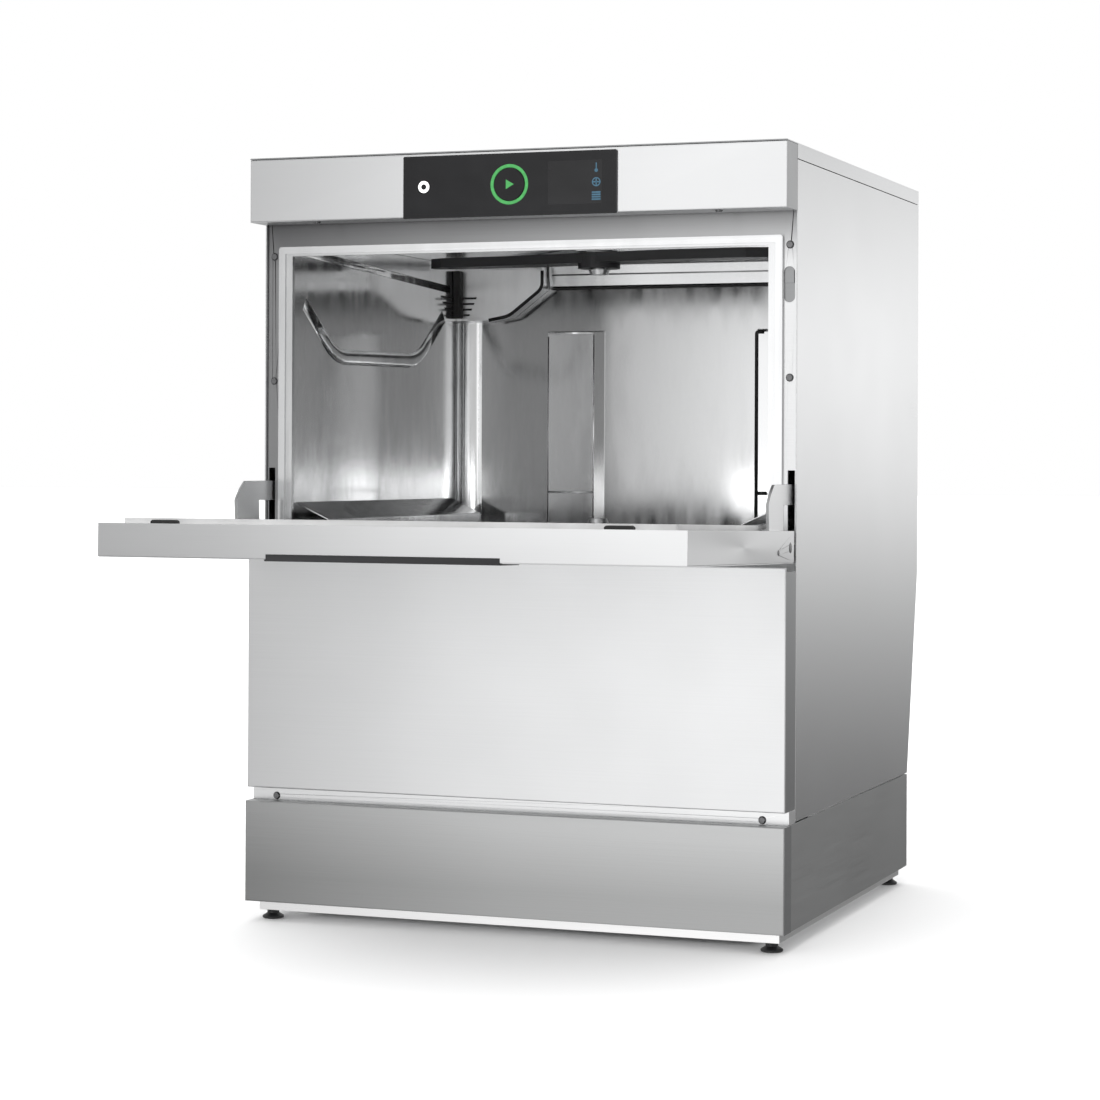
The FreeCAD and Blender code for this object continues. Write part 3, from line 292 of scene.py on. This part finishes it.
BY_SLOT = {"brushed_panel": FRONT, "polished_liner": LINER, "bare_steel": HIDDEN, "fastener_steel": SCREW,
           "black_glass": GLASS, "green_light": GREEN, "button_black": BUTTON, "display_screen": SCREEN,
           "circuit_board": BOARD, "black_plastic": BLACK, "black_rubber": RUBBER, "motor_casing": MOTOR,
           "grey_plastic": GREY, "brass_fitting": BRASS}
BY_NODE = {"side_panel_left": SIDE, "side_panel_right": SIDE, "rear_panel": BACK, "top_cover": TOP,
           "base_front_panel": PLINTH, "base_side_left": PLINTH_SIDE, "base_side_right": PLINTH_SIDE,
           "base_rear_panel": PLINTH, "opening_profile": PROFILE, "rack_rails": RAIL,
           "door_frame": FRAME, "chamber_back_wall": BACK_WALL, "strainer_plate": BRIGHT,
           "supply_duct": DUCT, "header_panel": HEADER, "latch_catch": LATCH, "door_gasket": SEAL,
           "lower_front_rail": BRIGHT, "base_frame": BRIGHT, "door_arms": ARM}


# ------------------------------------------------------------------ mesh helpers

def add_piece(name, mesh, material, body):
    """Put a finished mesh on a body, with its finish."""
    piece = bpy.data.objects.new(name, mesh)
    bpy.context.scene.collection.objects.link(piece)
    piece.data.materials.clear()
    piece.data.materials.append(material)
    for polygon in piece.data.polygons:
        polygon.use_smooth = True
    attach(piece, body)
    return piece


def soften(piece, width, segments=3, angle=35.0):
    """Round every sharp edge by a small radius, and shade the flats flat."""
    bevel = piece.modifiers.new("edge_radius", "BEVEL")
    bevel.width = width
    bevel.segments = segments
    bevel.limit_method = "ANGLE"
    bevel.angle_limit = math.radians(angle)
    bevel.harden_normals = True
    weighted = piece.modifiers.new("flat_shading", "WEIGHTED_NORMAL")
    weighted.keep_sharp = True
    return piece


def refine(node, width, angle):
    """A detailed stand-in for a CAD node: the same shape with every edge rounded."""
    mesh = frame["nodes"][node].data.copy()
    solid = bmesh.new()
    solid.from_mesh(mesh)
    bmesh.ops.remove_doubles(solid, verts=solid.verts, dist=1e-6)
    solid.to_mesh(mesh)
    solid.free()
    if mesh.has_custom_normals:
        mesh.normals_split_custom_set([(0, 0, 0)] * len(mesh.loops))
    slot = SLOT_OF[node]
    piece = add_piece(node + ".detail", mesh, BY_NODE.get(node, BY_SLOT[slot]), BODY_OF[node])
    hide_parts(node)
    return soften(piece, width, angle=angle)


def second_finish(piece, material, chosen):
    """Give the faces whose normal and centre pass the choice another finish."""
    piece.data.materials.append(material)
    for polygon in piece.data.polygons:
        if chosen(polygon.normal, polygon.center):
            polygon.material_index = 1


def mesh_from(name, vertices, faces):
    mesh = bpy.data.meshes.new(name)
    mesh.from_pydata([tuple(vertex) for vertex in vertices], [], faces)
    mesh.validate()
    solid = bmesh.new()
    solid.from_mesh(mesh)
    bmesh.ops.recalc_face_normals(solid, faces=solid.faces)
    solid.to_mesh(mesh)
    solid.free()
    return mesh


def prism(name, outline, start, end, axis, material, body, radius=0.0003):
    """A closed outline in millimetres pushed from start to end along X, Y or Z of the case."""
    place = {"X": lambda u, v, w: case(w, u, v), "Y": lambda u, v, w: case(u, w, v),
             "Z": lambda u, v, w: case(u, v, w)}[axis]
    count = len(outline)
    vertices = [place(u, v, w) for w in (start, end) for u, v in outline]
    faces = [tuple(range(count)), tuple(range(2 * count - 1, count - 1, -1))]
    faces += [(i, (i + 1) % count, count + (i + 1) % count, count + i) for i in range(count)]
    piece = add_piece(name, mesh_from(name, vertices, faces), material, body)
    return soften(piece, radius, 2)


def ring_points(centre, radius, count):
    return [(centre[0] + radius * math.cos(2 * math.pi * i / count),
             centre[1] + radius * math.sin(2 * math.pi * i / count)) for i in range(count)]


def annulus(name, centre, inner, outer, front, back, material, body):
    """A flat ring facing forwards; inner 0 gives a disc."""
    count = 64
    rings = [(inner, front), (outer, front), (outer, back), (inner, back)]
    vertices = [case(across, depth, level) for radius, depth in rings
                for across, level in ring_points(centre, max(radius, 0.05), count)]
    faces = []
    for ring in range(4):
        here, after = ring * count, ((ring + 1) % 4) * count
        faces += [(here + i, here + (i + 1) % count, after + (i + 1) % count, after + i)
                  for i in range(count)]
    piece = add_piece(name, mesh_from(name, vertices, faces), material, body)
    return soften(piece, 0.0001, 2)


def rounded_path(points, radius):
    """A path with each corner swapped for a short curve that starts radius before it."""
    points = [Vector(point) for point in points]
    line = [points[0]]
    for before, corner, after in zip(points, points[1:], points[2:]):
        first = corner + (before - corner).normalized() * min(radius, (before - corner).length * 0.45)
        last = corner + (after - corner).normalized() * min(radius, (after - corner).length * 0.45)
        for step in range(9):
            share = step / 8
            line.append(first.lerp(corner, share).lerp(corner.lerp(last, share), share))
    return line + [points[-1]]


def bead(name, path, normal, width, height, material, body, radius=0.03, flat=False):
    """A pressed rib on a wall: a crowned strip that fades out at its ends, closed at its back."""
    line = rounded_path(path, radius)
    normal = Vector(normal)
    steps = 10
    vertices, faces = [], []
    length = [0.0]
    for first, second in zip(line, line[1:]):
        length.append(length[-1] + (second - first).length)
    fade = max(width * 0.9 * MM, 1e-4)
    for index, point in enumerate(line):
        before, after = line[max(index - 1, 0)], line[min(index + 1, len(line) - 1)]
        across = (after - before).normalized().cross(normal).normalized()
        near = min(length[index], length[-1] - length[index]) / fade
        rise = max(0.05, math.sin(min(1.0, near) * math.pi / 2))
        for step in range(steps + 1):
            share = 2 * step / steps - 1
            crown = max(0.0, math.cos(share * math.pi / 2)) ** (0.5 if flat else 1.0)
            vertices.append(point + across * share * width * MM / 2 + normal * crown * height * rise * MM)
        vertices.append(point - normal * 0.3 * MM)
    row = steps + 2
    for index in range(len(line) - 1):
        here, after = index * row, (index + 1) * row
        faces += [(here + i, here + (i + 1) % row, after + (i + 1) % row, after + i) for i in range(row)]
    faces += [tuple(range(row)), tuple(range((len(line) - 1) * row, len(line) * row))]
    return add_piece(name, mesh_from(name, vertices, faces), material, body)


# ------------------------------------------------------------------ camera, floor and light

def make_camera():
    """Long lens from the right at half height, level, with a small vertical shift."""
    data = bpy.data.cameras.new("camera")
    data.sensor_width = 36.0
    data.lens = 91.33
    data.shift_y = -0.0864
    data.clip_end = 100.0
    yaw, pitch, roll = 0.3594, 0.0028, 0.0045
    forward = Vector((-math.sin(yaw) * math.cos(pitch), math.cos(yaw) * math.cos(pitch), math.sin(pitch)))
    level = Vector((math.cos(yaw), math.sin(yaw), 0.0))
    up = level.cross(forward)
    right = level * math.cos(roll) + up * math.sin(roll)
    top = up * math.cos(roll) - level * math.sin(roll)
    turn = Matrix((right, top, -forward)).transposed().to_4x4()
    camera = bpy.data.objects.new("camera", data)
    camera.matrix_world = Matrix.Translation(case(1061.8, -2701.8, 493.7)) @ turn
    bpy.context.scene.collection.objects.link(camera)
    bpy.context.scene.camera = camera


def make_floor():
    """Plain pale studio floor."""
    reach = 40.0
    corners = [(-reach, -reach, 0), (reach, -reach, 0), (reach, reach, 0), (-reach, reach, 0)]
    floor = bpy.data.objects.new("floor", mesh_from("floor", corners, [(0, 1, 2, 3)]))
    bpy.context.scene.collection.objects.link(floor)
    paint = Paint("pale_floor", Roughness=0.6)
    cloud = paint.noise((1.5, 1.5, 1.5), 2.0)
    paint.to("Base Color", paint.mix(paint.ramp(cloud, 0.0, 1.0), (0.90, 0.90, 0.90), (0.93, 0.93, 0.93)))
    floor.data.materials.append(paint.material)
    floor.visible_glossy = False


# studio brightness by direction, as (direction, share of the brightest)
BANK_LEVEL = 1.5
FRONT_BANK = [(-1.0, 0.70), (-0.62, 0.45), (-0.465, 0.04), (-0.395, 1.0), (-0.30, 0.94), (0.0, 0.94),
              (0.25, 0.40), (1.0, 0.45)]
FRONT_HEIGHT = [(-1.0, 0.52), (-0.35, 0.65), (-0.14, 0.87), (-0.1, 1.0), (0.03, 1.0), (0.08, 0.80),
                (0.6, 0.85), (1.0, 0.7)]
BACK_BANK = [(-1.0, 0.52), (-0.3, 0.78), (0.2, 0.84), (0.5, 0.7), (1.0, 0.6)]
BACK_HEIGHT = [(-1.0, 0.75), (-0.29, 0.60), (-0.2, 0.10), (-0.11, 0.13), (-0.05, 0.42), (0.0, 0.88),
               (0.05, 1.0), (0.11, 0.62), (1.0, 0.75)]


def make_world():
    """Studio surround, seen only in reflections and as light: a tall white bank ahead with a narrow
    dark flag on its left and a dim side on its right, and a bright bank behind with a dark band just
    below the horizon. The camera itself sees plain white."""
    world = bpy.data.worlds.new("studio")
    world.use_nodes = True
    nodes, links = world.node_tree.nodes, world.node_tree.links
    split = nodes.new("ShaderNodeSeparateXYZ")
    links.new(nodes.new("ShaderNodeTexCoord").outputs["Generated"], split.inputs[0])

    def along(axis, stops):
        """Brightness by one part of the direction; stops are (direction, brightness)."""
        ramp = nodes.new("ShaderNodeMapRange")
        ramp.inputs["From Min"].default_value = -1.0
        links.new(split.outputs[axis], ramp.inputs["Value"])
        colours = nodes.new("ShaderNodeValToRGB")
        marks = colours.color_ramp.elements
        while len(marks) < len(stops):
            marks.new(0.5)
        for mark, (direction, value) in zip(marks, stops):
            mark.position = (direction + 1) / 2
            mark.color = (value, value, value, 1.0)
        links.new(ramp.outputs["Result"], colours.inputs["Fac"])
        return colours.outputs["Color"]

    def blend(mode, factor, first, second):
        mix = nodes.new("ShaderNodeMix")
        mix.data_type = "RGBA"
        mix.blend_type = mode
        if factor is None:
            mix.inputs["Factor"].default_value = 1.0
        else:
            links.new(factor, mix.inputs["Factor"])
        links.new(first, mix.inputs[6])
        links.new(second, mix.inputs[7])
        return mix.outputs[2]

    ahead = blend("MULTIPLY", None, along("X", FRONT_BANK), along("Z", FRONT_HEIGHT))
    behind = blend("MULTIPLY", None, along("X", BACK_BANK), along("Z", BACK_HEIGHT))
    sides = blend("MIX", along("Y", [(-1.0, 0.0), (-0.1, 0.0), (0.1, 1.0), (1.0, 1.0)]), ahead, behind)
    links.new(sides, nodes["Background"].inputs["Color"])
    nodes["Background"].inputs["Strength"].default_value = BANK_LEVEL
    plain = nodes.new("ShaderNodeBackground")
    plain.inputs["Color"].default_value = (1.0, 1.0, 1.0, 1.0)
    choose = nodes.new("ShaderNodeMixShader")
    links.new(nodes.new("ShaderNodeLightPath").outputs["Is Camera Ray"], choose.inputs[0])
    links.new(nodes["Background"].outputs[0], choose.inputs[1])
    links.new(plain.outputs[0], choose.inputs[2])
    links.new(choose.outputs[0], nodes["World Output"].inputs["Surface"])
    bpy.context.scene.world = world


def area_light(name, place, target, size, power):
    data = bpy.data.lights.new(name, "AREA")
    data.shape = "RECTANGLE"
    data.size, data.size_y = size
    data.energy = power
    light = bpy.data.objects.new(name, data)
    light.location = place
    light.rotation_euler = (Vector(target) - Vector(place)).to_track_quat("-Z", "Y").to_euler()
    light.visible_glossy = False
    light.visible_camera = False
    bpy.context.scene.collection.objects.link(light)
    return light


def make_lights():
    data = bpy.data.lights.new("overhead_glow", "SUN")
    data.energy = 3.2
    data.angle = math.radians(100)
    glow = bpy.data.objects.new("overhead_glow", data)
    glow.rotation_euler = (math.radians(15), math.radians(-8), 0.0)
    glow.visible_glossy = False
    bpy.context.scene.collection.objects.link(glow)
    area_light("chamber_fill", case(60, 12, 590), case(-40, 500, 560), (0.42, 0.2), 0.12)
    low = area_light("chamber_low_fill", case(70, 28, 452), case(30, 500, 470), (0.30, 0.05), 0.13)
    low.visible_glossy = True


# ------------------------------------------------------------------ carried-over nodes

# edge radius in metres for each family of pieces
SHEET_EDGE = 0.00035
MOULD_EDGE = 0.0008
EDGES = {"control_glass": 0.0004, "start_ring_light": 0.0004, "start_button": 0.0006,
         "power_button": 0.0005, "chamber_back_wall": 0.0013, "supply_duct": 0.002,
         "opening_profile": 0.0009, "door_gasket": 0.0016, "door_grip": 0.0005,
         "upper_spray_arm": 0.0028, "lower_spray_arm": 0.0028, "rack_rails": 0.0006,
         "case_screws": 0.0003, "door_screws": 0.00015, "hinge_pins": 0.00015,
         "door_springs": 0.0, "wash_hoses": 0.0, "tank_heater": 0.0}


# nodes with another finish on some faces: painted shade, a darker steel on folded returns, side faces and cut
# edges
SECOND = {
    "lower_front_panel": (RETURN_SHADE, lambda normal, centre: abs(normal.x) > 0.9),
    "base_front_panel": (RETURN_SHADE, lambda normal, centre: abs(normal.x) > 0.9),
    "header_panel": (RECESS_SHADE, lambda normal, centre: abs(normal.x) > 0.9),
    "door_arms": (RECESS_SHADE, lambda normal, centre: abs(normal.x) < 0.5),
    "top_cover": (RETURN_SHADE, lambda normal, centre: normal.y < -0.9),
}


def refine_all():
    for node in sorted(frame["nodes"]):
        moulded = SLOT_OF[node] in ("black_plastic", "grey_plastic", "motor_casing", "brass_fitting")
        piece = refine(node, EDGES.get(node, MOULD_EDGE if moulded else SHEET_EDGE),
                       angle=15.0 if node == "chamber_back_wall" else 35.0)
        if node in SECOND:
            second_finish(piece, *SECOND[node])


# ------------------------------------------------------------------ chamber details

# depth of the raised face of the back wall's ribs
RIB_FACE = (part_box("chamber_back_wall")[0].y - FACE_Y) / MM


def make_side_beads():
    """Beads pressed into both side walls, and ledges under the ceiling."""
    wall = 275.0
    trapezoid = [(84, 668), (164, 612), (400, 616), (480, 674)]
    ledge = [(48, 726), (500, 708)]
    for side, word in ((-1, "left"), (1, "right")):
        normal = (-side, 0, 0)
        bead("chamber_%s_bead" % word, [case(side * wall, y, z) for y, z in trapezoid], normal,
             17, 3.0, RAIL, "case", flat=True)
        bead("chamber_%s_ledge" % word, [case(side * wall, y, z) for y, z in ledge], normal,
             9, 7, LINER, "case")


def make_back_rib_edges():
    """Raised beads on the folded top and flank of the two ribs on the back wall, and painted shade as dark
    lines down their left side and across their step.
    """
    for left in (-160, 110):
        right = left + 61
        # the step and side lines are painted shade, in a darker steel
        lines = {"step": ([(left + 1, 457.5), (right, 457.5)], 2.6, RECESS_SHADE),
                 "top": ([(left + 1, 654.4), (right, 654.4)], 2.6, PROFILE),
                 "side": ([(left + 0.8, 650), (left + 0.8, 406)], 1.6, RECESS_SHADE),
                 "flank": ([(right - 0.5, 652), (right - 0.5, 406)], 1.8, PROFILE)}
        for word, (line, width, material) in lines.items():
            bead("back_rib_%s_%d" % (word, left + 160), [case(x, RIB_FACE, z) for x, z in line], (0, -1, 0),
                 width, 0.9, material, "case", flat=True)


def make_coving():
    """Folded coving between the back wall and the ceiling, to the right of the duct, with painted shade as a
    dark line along it and a black strip under it.
    """
    profile = [(545.8, 711), (541, 712), (536.5, 738), (533, 739.6), (545.8, 739.6)]
    prism("ceiling_coving", profile, -158, 250, "X", PROFILE, "case", 0.0012)
    # painted shade: a dark steel line along the coving
    bead("coving_painted_shade_line", [case(-154, 538.4, 726.5), case(248, 538.4, 726.5)], (0, -1, 0), 2.4, 1.2,
         RECESS_SHADE, "case", 0.001, True)
    # painted shadow: a black strip under the coving
    prism("coving_painted_shadow", [(545.8, 708), (540, 708), (540, 710.6), (545.8, 710.6)], -156, 250, "X",
          RUBBER, "case", 0.0005)


def make_corner_vent_shade(row):
    """One plain black bar beside the corner seal, painted shade for a vent slot's dark opening: a part on the
    hood and a part on the left wall.
    """
    seal_side, seal_front = -265, 508
    low, top, reach = 676 + row * 7, 678.4 + row * 7, 8 + row * 3
    near, far = seal_side + reach, seal_front - 2 * reach
    prism("corner_vent_shade_back_%d" % row, [(seal_side, low), (near, low), (near + 1, top), (seal_side, top)],
          518.6, 519.8, "Y", RUBBER, "case", 0.0003)
    prism("corner_vent_shade_wall_%d" % row, [(far, low), (seal_front, low), (seal_front, top), (far - 2, top)],
          -274.9, -273.8, "X", RUBBER, "case", 0.0003)


def make_seal_and_painted_shadows():
    """A black seal in the corner beside the duct, and painted shadow as black strips round the duct's free
    edge, in the vents by the corner and on the right rib.
    """
    edge = [case(x, 519.6, z) for x, z in ((-160, 731), (-160, 709), (-204, 675.5), (-231, 670.5))]
    # painted shadow: a black strip along the duct's free edge
    bead("duct_edge_painted_shadow", edge, (0, -1, 0), 4.2, 2.0, RUBBER, "case", 0.008, True)
    corner = [(-274.8, 508), (-265.5, 508), (-265.5, 519.6), (-274.8, 519.6)]
    prism("duct_corner_seal", corner, 673, 732, "Z", RUBBER, "case", 0.0012)
    for row in range(4):
        make_corner_vent_shade(row)
    # painted shadow: black strips down the right rib's left edge and across its step
    line = [case(x, RIB_FACE, z) for x, z in ((119, 653), (109.5, 653), (109.5, 406))]
    bead("rib_painted_shadow", line, (0, -1, 0), 4.6, 1.6, RUBBER, "case", 0.003, True)
    tick = [case(x, RIB_FACE, 458) for x in (109, 123)]
    bead("rib_step_painted_shadow", tick, (0, -1, 0), 4.6, 1.6, RUBBER, "case", 0.003, True)


# ------------------------------------------------------------------ control symbols

def make_button_marks():
    """The power button's ring and the start button's play mark."""
    button_z = 783.0
    front = (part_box("power_button")[0].y - FACE_Y) / MM
    annulus("power_ring", (-95.3, button_z), 2.9, 6.3, front - 0.12, front + 0.3, WHITE, "power_button")
    front = (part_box("start_button")[0].y - FACE_Y) / MM
    play = [(-2.6, button_z - 5.0), (-2.6, button_z + 5.0), (6.2, button_z)]
    prism("play_mark", play, front - 0.12, front + 0.3, "Y", GREEN, "start_button", 0.0001)


def make_display():
    """The display's window in the glass, with three generic icons."""
    front = (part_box("control_glass")[0].y - FACE_Y) / MM
    screen = [(44, 760.5), (103.5, 760.5), (103.5, 805.5), (44, 805.5)]
    prism("display_window", screen, front - 0.08, front + 0.2, "Y", SCREEN, "case", 0.00005)
    icon_x, near, far = 97.0, front - 0.2, front + 0.1
    stem = [(icon_x - 0.6, 796), (icon_x + 0.6, 796), (icon_x + 0.6, 802.4), (icon_x - 0.6, 802.4)]
    prism("icon_thermometer_stem", stem, near, far, "Y", BLUE, "case", 0.0001)
    annulus("icon_thermometer_bulb", (icon_x, 794.6), 0.0, 1.9, near, far, BLUE, "case")
    annulus("icon_dial_ring", (icon_x, 782.7), 3.5, 4.7, near, far, BLUE, "case")
    for turn in range(2):
        wide, tall = ((3.4, 0.7), (0.7, 3.4))[turn]
        cross = [(icon_x - wide, 782.7 - tall), (icon_x + wide, 782.7 - tall),
                 (icon_x + wide, 782.7 + tall), (icon_x - wide, 782.7 + tall)]
        prism("icon_dial_spoke_%d" % turn, cross, near, far, "Y", BLUE, "case", 0.0001)
    for row in range(4):
        low = 764.0 + row * 2.4
        bar = [(icon_x - 4.8, low), (icon_x + 4.8, low), (icon_x + 4.8, low + 1.7), (icon_x - 4.8, low + 1.7)]
        prism("icon_list_bar_%d" % row, bar, near, far, "Y", BLUE, "case", 0.0001)


def make_door_stops():
    """Two rubber stops on the inside of the door, beyond its seal."""
    low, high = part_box("door_inner_skin")
    free_y = (low.y - FACE_Y) / MM
    top_z = high.z / MM
    for side in (-1, 1):
        middle = side * 232
        outline = [(middle - 14, top_z - 0.4), (middle + 14, top_z - 0.4), (middle + 14, top_z + 2.0),
                   (middle + 12, top_z + 3.4), (middle - 12, top_z + 3.4), (middle - 14, top_z + 2.0)]
        prism("door_stop_%s" % ("left" if side < 0 else "right"), outline, free_y + 4, free_y + 12, "Y",
              RUBBER, "door", 0.0006)


make_camera()
make_floor()
make_world()
make_lights()
refine_all()
make_side_beads()
make_back_rib_edges()
make_coving()
make_seal_and_painted_shadows()
make_button_marks()
make_display()
make_door_stops()
bpy.context.scene.view_settings.view_transform = "Standard"
